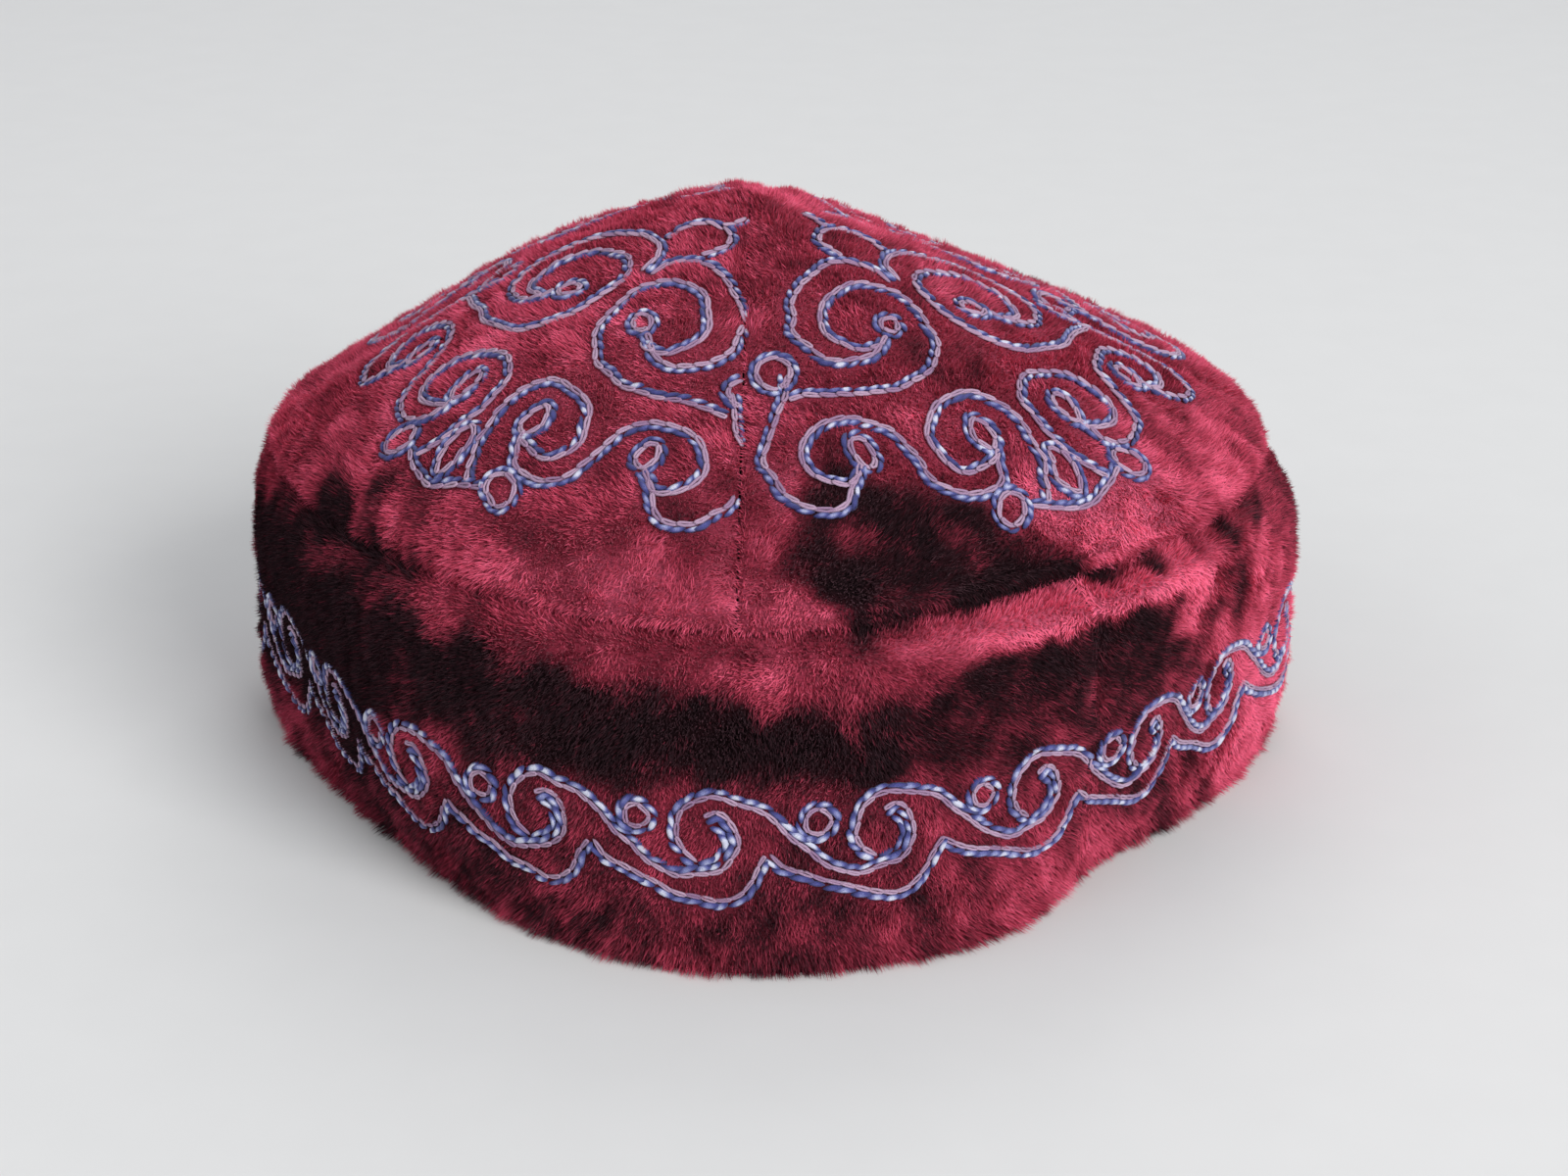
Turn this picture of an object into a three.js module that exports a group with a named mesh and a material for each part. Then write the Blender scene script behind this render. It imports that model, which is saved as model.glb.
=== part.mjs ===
// Tubeteika skullcap in crushed velvet: four crown gores sewn together and to one tall band.
// Millimetres. +Z is up, the rim rests on z = 0 and the front crown seam faces -Y.
// Azimuths are in degrees round the cap, 0 at the front seam and growing towards +X.
// A level runs up the cloth: 0 at the rim, 1 at the seam of band and crown, 2 at the top.
import * as THREE from 'three';

// Driving sizes
const CLOTH = 2.4; // wall: backing cloth with its standing pile
const SEAM_GAP = 0.3; // left open between two sewn edges
const SEAM_HEIGHT = 57; // the seam of band and crown above the floor
const TOP_HEIGHT = 103.5; // the point where the four gores meet
const TOP_LEAN = -4; // the top stands this far along X from the middle of the rim
const TIP_RADIUS = 0.8; // the gores stop this far from the top
const BAND_CLOSING = 39; // azimuth where the two ends of the band meet

// Outer face of the band, a row for each height: radius at the front and back seams,
// at the side seams and halfway between them
const BAND_SECTIONS = [
  { z: 0, front: 100.5, side: 96.5, diagonal: 84.5 },
  { z: 9, front: 100.5, side: 98.3, diagonal: 88.5 },
  { z: 22, front: 99.0, side: 97.5, diagonal: 91.5 },
  { z: 36, front: 97.5, side: 97.5, diagonal: 92.5 },
  { z: 48, front: 95.5, side: 96.5, diagonal: 91.5 },
  { z: SEAM_HEIGHT - SEAM_GAP / 2, front: 91.5, side: 92.0, diagonal: 87.5 },
];

// Outer face of the crown in the same columns
const CROWN_SECTIONS = [
  { z: SEAM_HEIGHT + SEAM_GAP / 2, front: 91.5, side: 92.0, diagonal: 87.5 },
  { z: 62, front: 90.0, side: 90.5, diagonal: 85.5 },
  { z: 71, front: 80.5, side: 81.5, diagonal: 77.5 },
  { z: 83, front: 61.5, side: 62.5, diagonal: 60.0 },
  { z: 93, front: 41.5, side: 42.5, diagonal: 41.0 },
  { z: 100, front: 20.5, side: 21.5, diagonal: 20.5 },
  { z: 103, front: 6.5, side: 6.5, diagonal: 6.5 },
  { z: TOP_HEIGHT, front: 0, side: 0, diagonal: 0 },
];

// Dents and rolls of the slumped cloth: centre, half-spreads and push (outwards is positive)
const FOLDS = [
  { about: 'right of the crown sags', azimuth: 95, level: 1.5, wide: 40, high: 0.3, push: -3.5 },
  { about: 'back right of the crown sags', azimuth: 135, level: 1.6, wide: 34, high: 0.36, push: -6.0 },
  { about: 'back left of the crown sags', azimuth: -130, level: 1.6, wide: 34, high: 0.34, push: -2.4 },
  { about: 'left of the crown sags', azimuth: -92, level: 1.33, wide: 30, high: 0.2, push: -3.4 },
  { about: 'left shoulder stands out', azimuth: -95, level: 1.02, wide: 26, high: 0.14, push: 2.6 },
  { about: 'crease over the right front', azimuth: 37, level: 1.03, wide: 18, high: 0.045, push: -3.4 },
  { about: 'roll under that crease', azimuth: 42, level: 0.92, wide: 23, high: 0.06, push: 3.0 },
  { about: 'roll below the front seam', azimuth: -8, level: 0.86, wide: 26, high: 0.1, push: 1.0 },
  { about: 'swell of the front left', azimuth: -32, level: 0.36, wide: 15, high: 0.34, push: 3.0 },
  { about: 'left flank lies flat', azimuth: -68, level: 0.4, wide: 14, high: 0.34, push: -4.2 },
  { about: 'left corner juts out', azimuth: -96, level: 0.32, wide: 15, high: 0.36, push: 2.4 },
  { about: 'right flank lies flat', azimuth: 66, level: 0.42, wide: 15, high: 0.34, push: -4.6 },
  { about: 'right corner juts out', azimuth: 98, level: 0.32, wide: 15, high: 0.36, push: 1.6 },
  { about: 'swelling of the left gore', azimuth: -40, level: 1.3, wide: 20, high: 0.16, push: 1.6 },
  { about: 'dimple in the right gore', azimuth: 30, level: 1.26, wide: 12, high: 0.12, push: -1.6 },
  { about: 'dip below the right seam', azimuth: 92, level: 0.93, wide: 18, high: 0.1, push: -3.0 },
  { about: 'rim turned out at the right front', azimuth: 27, level: 0.0, wide: 13, high: 0.2, push: 5.0 },
  { about: 'step by the closing seam', azimuth: 45, level: 0.0, wide: 7, high: 0.14, push: -1.6 },
  { about: 'rim tucked under on the right', azimuth: 84, level: 0.0, wide: 17, high: 0.2, push: -3.0 },
  { about: 'rim tucked under on the left', azimuth: -80, level: 0.0, wide: 18, high: 0.16, push: -2.4 },
  { about: 'hollow at the back left', azimuth: -128, level: 0.55, wide: 16, high: 0.2, push: -1.8 },
  { about: 'roll at the back right', azimuth: 138, level: 0.84, wide: 18, high: 0.1, push: 1.4 },
];

// Waves that the gathered stitching leaves in the band below the crown seam
const PUCKERS = [
  { waves: 9, phase: 20, push: 0.6 },
  { waves: 17, phase: 130, push: 0.45 },
];
const PUCKER_LEVEL = 0.9;
const PUCKER_SPREAD = 0.14;

// Valleys along the sewn lines
const GORE_VALLEY = { depth: 1.3, width: 3.4, wholeFrom: 1.15 };
const RING_VALLEY = { depth: 0.7, spread: 0.03 };

// Levels between which the cloth changes its manner
const FOLDS_END = { from: 1.8, to: 2 }; // folds die out towards the top
const PUSH_TURN = { from: 1.02, to: 1.4, rise: 62 }; // pushes turn upwards by this many degrees
const LEAN = { from: 1.1, to: 2 }; // the lean of the top sets in
const TIP_UPRIGHT = { from: 1.75, to: 1.95 }; // the inner face turns to lie straight below the outer
const EDGE_SPREAD = 0.06; // the inner face lies level with the outer this near to an edge

// Mesh spacing
const BAND_COLUMNS = 76;
const BAND_LEVELS = [0, 0.05, 0.13, 0.23, 0.34, 0.46, 0.58, 0.69, 0.78, 0.86, 0.92, 0.965, 1];
const CROWN_LEVELS = [
  1, 1.025, 1.06, 1.11, 1.17, 1.24, 1.31, 1.39, 1.47, 1.55, 1.63, 1.71, 1.78, 1.85, 1.91, 1.96,
];
const GORE_COLUMNS = [0, 0.02, 0.05, 0.1, 0.18, 0.28, 0.39, 0.5, 0.61, 0.72, 0.82, 0.9, 0.95, 0.98, 1];
const NORMAL_STEP = { level: 0.004, azimuth: 0.4 }; // how far apart the points of a normal lie
const TIP_SEARCH = { from: 1.9, step: 0.001 }; // levels tried for the cut-off tip of a gore

const radians = THREE.MathUtils.degToRad;
const bell = (distance, spread) => Math.exp(-((distance / spread) ** 2));
const turnBetween = (a, b) => THREE.MathUtils.euclideanModulo(a - b + 180, 360) - 180;
const ramp = (level, span) => THREE.MathUtils.smoothstep(level, span.from, span.to);

// Smooth profiles through the section rows
function makeProfile(sections) {
  const radii = sections.map((row) => new THREE.Vector3(row.front, row.side, row.diagonal));
  const heights = sections.map((row) => new THREE.Vector3(row.z, 0, 0));
  const radiusCurve = new THREE.CatmullRomCurve3(radii, false, 'catmullrom');
  const heightCurve = new THREE.CatmullRomCurve3(heights, false, 'catmullrom');
  return (share) => {
    const { x: front, y: side, z: diagonal } = radiusCurve.getPoint(share);
    return { front, side, diagonal, z: heightCurve.getPoint(share).x };
  };
}

const bandProfile = makeProfile(BAND_SECTIONS);
const crownProfile = makeProfile(CROWN_SECTIONS);

// The plan is a rounded square with its corners on the crown seams
function planRadius(section, azimuth) {
  const corner = (section.front + section.side) / 2;
  const middle = (corner + section.diagonal) / 2;
  const square = (corner - section.diagonal) / 2;
  const oval = (section.front - section.side) / 2;
  return middle + square * Math.cos(4 * radians(azimuth)) + oval * Math.cos(2 * radians(azimuth));
}

function radialAt(azimuth) {
  return new THREE.Vector3(Math.sin(radians(azimuth)), -Math.cos(radians(azimuth)), 0);
}

// How far folds, puckers and sewn lines move the cloth out of its smooth form
function pushAt(azimuth, level, radius) {
  let push = 0;
  for (const fold of FOLDS) {
    const across = bell(turnBetween(azimuth, fold.azimuth), fold.wide);
    push += fold.push * across * bell(level - fold.level, fold.high);
  }
  for (const pucker of PUCKERS) {
    const wave = Math.cos(pucker.waves * radians(azimuth - pucker.phase));
    push += pucker.push * wave * bell(level - PUCKER_LEVEL, PUCKER_SPREAD);
  }
  push -= RING_VALLEY.depth * bell(level - 1, RING_VALLEY.spread);
  if (level >= 1) {
    const offSeam = radius * Math.sin(radians(turnBetween(azimuth * 4, 0) / 4));
    const fade = ramp(level, { from: 1, to: GORE_VALLEY.wholeFrom });
    push -= GORE_VALLEY.depth * bell(offSeam, GORE_VALLEY.width) * fade;
  }
  return push * (1 - ramp(level, FOLDS_END));
}

// Pushes are level on the band and turn upwards over the crown
function uprightPoint(azimuth, level, onCrown) {
  const section = onCrown ? crownProfile(level - 1) : bandProfile(level);
  const radius = planRadius(section, azimuth);
  const push = pushAt(azimuth, level, radius);
  const rise = radians(PUSH_TURN.rise) * ramp(level, PUSH_TURN);
  const point = radialAt(azimuth).multiplyScalar(radius + push * Math.cos(rise));
  point.z = section.z + push * Math.sin(rise);
  return point;
}

// The crown leans over more and more towards its top
function outerPoint(azimuth, level, onCrown) {
  const point = uprightPoint(azimuth, level, onCrown);
  point.x += TOP_LEAN * ramp(level, LEAN);
  return point;
}

function outwardNormal(azimuth, level, onCrown) {
  const { level: step, azimuth: turn } = NORMAL_STEP;
  const low = onCrown ? Math.max(level - step, 1) : Math.max(level - step, 0);
  const high = onCrown ? level + step : Math.min(level + step, 1);
  const along = outerPoint(azimuth + turn, level, onCrown).sub(outerPoint(azimuth - turn, level, onCrown));
  const up = outerPoint(azimuth, high, onCrown).sub(outerPoint(azimuth, low, onCrown));
  return along.cross(up).normalize();
}

// Inner face: level at the rim and at the crown seam, upright at the tip, square to the cloth elsewhere
function innerPoint(azimuth, level, onCrown, seamAzimuth) {
  const inward = outwardNormal(azimuth, level, onCrown).negate();
  const levelIn = radialAt(azimuth).negate();
  const nearEdge = Math.max(bell(level, EDGE_SPREAD), bell(level - 1, EDGE_SPREAD));
  inward.lerp(levelIn, nearEdge);
  inward.lerp(new THREE.Vector3(0, 0, -1), ramp(level, TIP_UPRIGHT));
  if (seamAzimuth !== null) {
    const acrossSeam = radialAt(seamAzimuth + 90);
    inward.addScaledVector(acrossSeam, -inward.dot(acrossSeam));
  }
  return outerPoint(azimuth, level, onCrown).addScaledVector(inward.normalize(), CLOTH);
}

// A closed cloth wall from a grid of places; each place has a row of levels
function clothWall(columns, levels, onCrown) {
  const rows = levels.length;
  const positions = [];
  const triangles = [];
  for (const column of columns) {
    for (const level of levels) {
      const azimuth = column.azimuthAt(level);
      positions.push(outerPoint(azimuth, level, onCrown));
      positions.push(innerPoint(azimuth, level, onCrown, column.seam));
    }
  }
  const outer = (column, row) => 2 * (column * rows + row);
  const inner = (column, row) => outer(column, row) + 1;
  const quad = (a, b, c, d) => triangles.push(a, b, c, a, c, d);
  const lastColumn = columns.length - 1;
  const lastRow = rows - 1;
  for (let column = 0; column < lastColumn; column += 1) {
    const next = column + 1;
    for (let row = 0; row < lastRow; row += 1) {
      quad(outer(column, row), outer(next, row), outer(next, row + 1), outer(column, row + 1));
      quad(inner(next, row), inner(column, row), inner(column, row + 1), inner(next, row + 1));
    }
    quad(inner(column, 0), inner(next, 0), outer(next, 0), outer(column, 0));
    quad(outer(column, lastRow), outer(next, lastRow), inner(next, lastRow), inner(column, lastRow));
  }
  for (let row = 0; row < lastRow; row += 1) {
    const over = row + 1;
    quad(inner(0, row), outer(0, row), outer(0, over), inner(0, over));
    quad(outer(lastColumn, row), inner(lastColumn, row), inner(lastColumn, over), outer(lastColumn, over));
  }
  const geometry = new THREE.BufferGeometry().setFromPoints(positions);
  geometry.setIndex(triangles);
  geometry.computeVertexNormals();
  return geometry;
}

// Half the seam gap as an angle at a level
function gapTurn(azimuth, level, onCrown) {
  const { x, y } = uprightPoint(azimuth, level, onCrown);
  return THREE.MathUtils.radToDeg(Math.asin(SEAM_GAP / 2 / Math.hypot(x, y)));
}

// The last level of a gore, where its tip is cut off round the axis
function tipLevel() {
  let level = TIP_SEARCH.from;
  while (planRadius(crownProfile(level - 1), 0) > TIP_RADIUS) {
    level += TIP_SEARCH.step;
  }
  return level;
}

function goreGeometry(firstSeam) {
  const lastSeam = firstSeam + 90;
  const levels = [...CROWN_LEVELS, tipLevel()];
  const columns = GORE_COLUMNS.map((share) => ({
    seam: share === 0 ? firstSeam : share === 1 ? lastSeam : null,
    azimuthAt: (level) => {
      const first = firstSeam + gapTurn(firstSeam, level, true);
      const last = lastSeam - gapTurn(lastSeam, level, true);
      return THREE.MathUtils.lerp(first, last, share);
    },
  }));
  return clothWall(columns, levels, true);
}

function bandGeometry() {
  const columns = [];
  for (let index = 0; index <= BAND_COLUMNS; index += 1) {
    const share = index / BAND_COLUMNS;
    const atEnd = index === 0 || index === BAND_COLUMNS;
    columns.push({
      seam: atEnd ? BAND_CLOSING : null,
      azimuthAt: (level) => {
        const turn = gapTurn(BAND_CLOSING, level, false);
        return BAND_CLOSING + THREE.MathUtils.lerp(turn, 360 - turn, share);
      },
    });
  }
  return clothWall(columns, BAND_LEVELS, false);
}

const VELVET = new THREE.MeshStandardMaterial({ color: 0x7a1f3a, roughness: 0.95, metalness: 0 });

const cap = new THREE.Group();
cap.name = 'tubeteika';

function addCloth(name, geometry) {
  const cloth = new THREE.Mesh(geometry, VELVET);
  cloth.name = name;
  cap.add(cloth);
}

addCloth('gore_front_right', goreGeometry(0));
addCloth('gore_back_right', goreGeometry(90));
addCloth('gore_back_left', goreGeometry(180));
addCloth('gore_front_left', goreGeometry(270));
addCloth('band', bandGeometry());

// The plan is centred on the axis after the folds have moved its edges
const box = new THREE.Box3().setFromObject(cap);
const centre = box.getCenter(new THREE.Vector3());
for (const cloth of cap.children) {
  cloth.geometry.translate(-centre.x, -centre.y, 0);
}

export default cap;
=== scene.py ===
import math
from collections import namedtuple

import bmesh
import bpy
import numpy as np
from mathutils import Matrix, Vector
from mathutils.bvhtree import BVHTree
from mathutils.kdtree import KDTree


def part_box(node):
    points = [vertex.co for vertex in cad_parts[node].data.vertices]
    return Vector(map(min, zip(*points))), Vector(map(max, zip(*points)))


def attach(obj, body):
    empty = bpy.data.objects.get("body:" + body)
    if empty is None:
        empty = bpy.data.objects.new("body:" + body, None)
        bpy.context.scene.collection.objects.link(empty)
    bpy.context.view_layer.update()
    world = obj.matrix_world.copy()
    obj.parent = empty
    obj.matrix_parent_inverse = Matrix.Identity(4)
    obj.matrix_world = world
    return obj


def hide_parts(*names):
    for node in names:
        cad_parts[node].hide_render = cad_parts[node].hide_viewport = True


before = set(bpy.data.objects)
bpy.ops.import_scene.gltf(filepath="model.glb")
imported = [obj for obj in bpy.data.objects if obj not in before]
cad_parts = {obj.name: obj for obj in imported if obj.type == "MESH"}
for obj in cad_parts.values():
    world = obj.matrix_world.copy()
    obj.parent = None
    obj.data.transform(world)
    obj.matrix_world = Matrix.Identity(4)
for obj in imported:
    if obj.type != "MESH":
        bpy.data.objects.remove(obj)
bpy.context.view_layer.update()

# Places on the cap: azimuths are in degrees, 0 at the front crown seam and growing towards +X.
# A level runs up the cloth: 0 at the rim, 1 at the seam of band and crown, 2 at the top.
# Charts and threads are in millimetres, and everything in Blender is in metres.
MM = 0.001
SEED = 11
GORE_MIDDLES = {
    "gore_front_right": 45,
    "gore_back_right": 135,
    "gore_back_left": 225,
    "gore_front_left": 315,
}
SEAM_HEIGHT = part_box("band")[1].z
CROWN_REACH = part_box("gore_front_right")[1].x
TOP_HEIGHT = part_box("gore_front_right")[1].z
HEART = Vector((0, 0, SEAM_HEIGHT / 2))

# Smooth noise: a seed for each use, and how many waves of which spread of sizes it sums
MOTTLE_SEED = SEED
WAVER_SEEDS = (SEED + 4, SEED + 5)
SWIRL_SEEDS = (SEED + 7, SEED + 8)
WOBBLE_SEED = SEED + 9
TUFT_SEED = SEED + 10
NOISE_WAVES = 14
NOISE_PITCHES = (0.6, 1.5)

# Chart lines: the step along them, and the points of a curve's span and of a closed loop before that
LINE_STEP = 0.4
SPAN_POINTS = 16
LOOP_POINTS = 60

# Camera, floor and light: places and sizes in metres, the lens in millimetres and power in watts
CAMERA_PLACE = (0.034, -0.5156, 0.2525)
CAMERA_AIM = (0.0032, -0.0086, 0.0290)
CAMERA_LENS = 67.5
FLOOR_SIZE = 6.0
ROOM_COLOUR = (0.93, 0.95, 1.0)
ROOM_STRENGTH = 0.5
LIGHT_SPREAD = math.radians(90)
Light = namedtuple("Light", "name place size power")
LIGHTS = [
    Light("key_window", (1.45, -1.6, 1.28), 1.36, 14),
    Light("fill_window", (-1.65, -0.75, 1.35), 1.5, 1.4),
    Light("back_window", (0.15, 1.8, 1.65), 1.5, 3.0),
]

# Cloth, in metres: where rays at the band start, and the walls' rounding
RAY_START = 0.2
WELD_DISTANCE = 1e-6
JOIN_FACE_ANGLE = 0.5
JOIN_SHAPE_ANGLE = 1.2
CREASE_ANGLE = math.radians(55)
CREASE_SHARPNESS = 0.8
OUTER_FACING = 0.3

# Looks of the materials: each stop is a place along a shade or a tone, and the colour there
# Pile colour along its painted light: near black in painted shade, bright crimson in painted sheen
PILE_COLOUR_BY_PAINTED_LIGHT = [
    (0.00, (0.013, 0.007, 0.009)), (0.20, (0.050, 0.011, 0.017)),
    (0.55, (0.52, 0.055, 0.105)), (1.00, (0.97, 0.17, 0.30)),
]
LILAC_STOPS = [(0.2, (0.39, 0.22, 0.39)), (1.0, (0.62, 0.42, 0.58))]
# Blue thread along its tone: navy in painted shade, blue, then pale in a painted glint
BLUE_WITH_GLINT_STOPS = [
    (0.20, (0.022, 0.026, 0.13)), (0.50, (0.075, 0.083, 0.33)),
    (0.72, (0.30, 0.33, 0.64)), (0.95, (0.80, 0.83, 0.98)),
]
# Ground between the strands: random mottle, and painted shade that keeps it at a quarter to three fifths of
# the pile's colour
GROUND_MOTTLE_AND_SHADE = [(0.3, (0.25, 0.25, 0.25)), (0.7, (0.6, 0.6, 0.6))]
FIBRE_STOPS = [(0.35, (0.62, 0.60, 0.64)), (0.65, (1.0, 1.0, 1.0))]
FLOOR_STOPS = [(0.3, (0.755, 0.755, 0.745)), (0.7, (0.765, 0.765, 0.755))]
WEAVE_COLOURS = [(0.11, 0.028, 0.042, 1), (0.075, 0.018, 0.028, 1)]
SHEEN_ROUGHNESS = 0.45
FIBRE_SCALE = 900
FIBRE_SPECKLE = 0.5

# Pile of the velvet: strands in millimetres, leans in degrees and swirls in radians
PILE_PER_MM2 = 9.5
PILE_LENGTH = (1.0, 1.9)
PILE_WIDTH = (0.20, 0.34)
STRAND_TWIST = 0.6
STRAND_SHADES = 0.09
LEAN_IN_DARK = 12
LEAN_MORE_IN_LIGHT = 52
LEAN_SCATTER = 11
Swirl = namedtuple("Swirl", "size strength")
SWIRLS = [Swirl(40, 0.9), Swirl(12, 0.5)]
SWIRL_SCATTER = 0.5
# Painted shade at the roots of the strands and painted light on their tips
ROOT_PAINTED_SHADE = 0.75
TIP_PAINTED_LIGHT = 1.2
SEAM_UPRIGHT = 0.85
SEAM_REACH = 3.0
RIM_PILE = 1.0
RIM_UPRIGHT = 0.7
RIM_PILE_REACH = 3.5
PILE_TUFTS = 0.22
TUFT_SIZE = 7
TUFT_LIMIT = 1.5
LOWEST_PILE = 0.3
# Base painted light of the nap: the upward crown painted brighter than the upright band
CROWN_SHADE = 0.61
BAND_SHADE = 0.40
LEAST_SHADE = 0.02

# Maps for the texture bake: margins of a stitch's cell, spans of crown and band, half-size of a strand
STITCH_MARGINS = (0.1, 0.9)
CROWN_MAP_HALF = 0.49
BAND_MAP_FOOT = 0.02
BAND_MAP_HEIGHT = 0.95
STRAND_MAP_LIMITS = (0.003, 0.995)
STRAND_MAP_HALF = 0.0012

# Where the nap lies dark or bright, as painted light and shade: painted shade and sheen of the crushed nap as
# seen from the camera, painted shade in the creases over the ridge, and painted highlights on the lit rolls,
# ridge and right flank. Each zone gives the middle of its patch, its half-spreads and its change of shade
Zone = namedtuple("Zone", "about azimuth level wide high shade")
PAINTED_LIGHT_ZONES = [
    Zone("dark left side of the band", -59, 0.64, 16, 0.36, -0.42),
    Zone("dark far left of the band", -76, 0.56, 11, 0.30, -0.34),
    Zone("dark belt left of the front", -28, 0.73, 20, 0.17, -0.36),
    Zone("dark belt at the front", 4, 0.70, 18, 0.12, -0.36),
    Zone("dark belt on the right", 42, 0.72, 20, 0.14, -0.19),
    Zone("bright roll below the front seam", -12, 0.96, 31, 0.10, 0.20),
    Zone("bright ridge below the right seam", 41, 0.94, 21, 0.052, 0.78),
    Zone("bright spot under the ridge", 55, 0.82, 4, 0.09, 0.50),
    Zone("dark blot under the ridge", 26, 0.86, 4, 0.06, -0.20),
    Zone("second dark blot under the ridge", 39, 0.80, 5, 0.07, -0.22),
    Zone("dull right end of the belt", 49, 0.74, 5, 0.12, -0.12),
    Zone("dark left foot of the crown", -52, 1.03, 8, 0.055, -0.45),
    Zone("bright spot in the belt", 12, 0.74, 3, 0.06, 0.35),
    Zone("dark crease over the ridge", 37, 1.015, 11, 0.032, -0.70),
    Zone("dark corner on the right", 72, 0.95, 6, 0.04, -0.40),
    Zone("dark patch low on the right gore", 21, 1.10, 13, 0.115, -0.49),
    Zone("left end of that patch", 13.5, 1.10, 5, 0.10, -0.22),
    Zone("dark wedge over the crease", 37, 1.058, 8, 0.022, -0.45),
    Zone("bright strip beside the front seam", 4, 1.16, 5, 0.11, 0.14),
    Zone("dark drift up the right gore", 37, 1.40, 8, 0.07, -0.26),
    Zone("dull foot of the left gore", -26, 1.09, 22, 0.10, -0.09),
    Zone("bright upper half of the left gore", -42, 1.50, 28, 0.22, 0.06),
    Zone("bright foot of the right gore", 46, 1.10, 10, 0.07, 0.30),
    Zone("bright spot over the right seam", 61, 1.05, 6, 0.05, 0.10),
    Zone("bright right flank", 82, 0.26, 17, 0.32, 0.42),
    Zone("bright rim right of the front", 34, 0.08, 15, 0.14, 0.15),
    Zone("bright end of the ridge", 70, 0.74, 6, 0.25, 0.28),
    Zone("dull left rim", -36, 0.18, 31, 0.20, -0.13),
    Zone("dark belt at the back", 172, 0.70, 34, 0.16, -0.38),
    Zone("dark belt on the left back", -124, 0.66, 20, 0.20, -0.36),
    Zone("dark patch on the back gore", 140, 1.18, 14, 0.11, -0.50),
    Zone("bright roll at the back", 160, 0.95, 30, 0.07, 0.25),
    Zone("bright rim at the back", -160, 0.12, 40, 0.16, 0.16),
]
Mottle = namedtuple("Mottle", "size strength")
MOTTLE = [Mottle(34, 0.03), Mottle(13, 0.06), Mottle(5, 0.05)]

# How the edges of the patches waver
AZIMUTH_WAVER = 3.4
AZIMUTH_WAVER_SIZE = 20
LEVEL_WAVER = 0.024
LEVEL_WAVER_SIZE = 15
WAVER_LIMIT = 1.3

# Embroidery threads: sizes on the crown, and how much larger or smaller the band's are
BAND_TWIST = 1.13
BAND_CHAIN = 0.85
THREAD_OFFSET = 0.52
HAND_WOBBLE = 0.2
WOBBLE_SIZE = 7
SHORTEST_RUN = 8
NORMAL_REACH = 4

# Lilac chain: each loop is narrow where it starts, wide at its end and laid over the next one
CHAIN_STITCH = 2.9
CHAIN_OVERLAP = 1.2
CHAIN_THREAD = 0.28
CHAIN_HALF_WIDTH = 0.34
CHAIN_WIDTHS = (0.8, 1.2)
CHAIN_NECK = 0.45
CHAIN_BELLY = 0.75
CHAIN_RISE = 0.2
CHAIN_CLIMB = 0.45
CHAIN_POINTS = 10
CHAIN_CORNERS = 4

# Blue twist: each stitch is plump in its middle, slanted, and climbs over the one before
TWIST_STITCH = 2.3
TWIST_SCATTER = 0.2
TWIST_LENGTH = 3.3
TWIST_LENGTHS = (0.75, 1.15)
TWIST_THREAD = 0.52
TWIST_THREADS = (0.8, 1.15)
TWIST_END = 0.02
TWIST_SLANT = 0.36
TWIST_SLANTS = (0.5, 1.5)
TWIST_RISE = 0.28
TWIST_CLIMB = 0.22
TWIST_POINTS = 8
TWIST_CORNERS = 5

# Painted light on the blue stitches: a pale painted glint over the top middle of each stitch, painted shade
# at its ends and underside, its strength differing at random from stitch to stitch
CROWN_PAINTED_GLINT = 0.55
BAND_PAINTED_GLINT = 0.72
GLINT_SCATTER = 0.24
GLINT_LIMITS = (0.15, 1.1)
GLINT_ENDS = (0.05, 0.95)
GLINT_GATHER = 2.6
GLINT_ON_UNDERSIDE = 0.2

# Pile beside a thread: none nearer than the first distance, short up to the second
PRESSED_PILE = 0.92
SHORT_PILE = 2.4
SHORT_SHARE = 0.35

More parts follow.
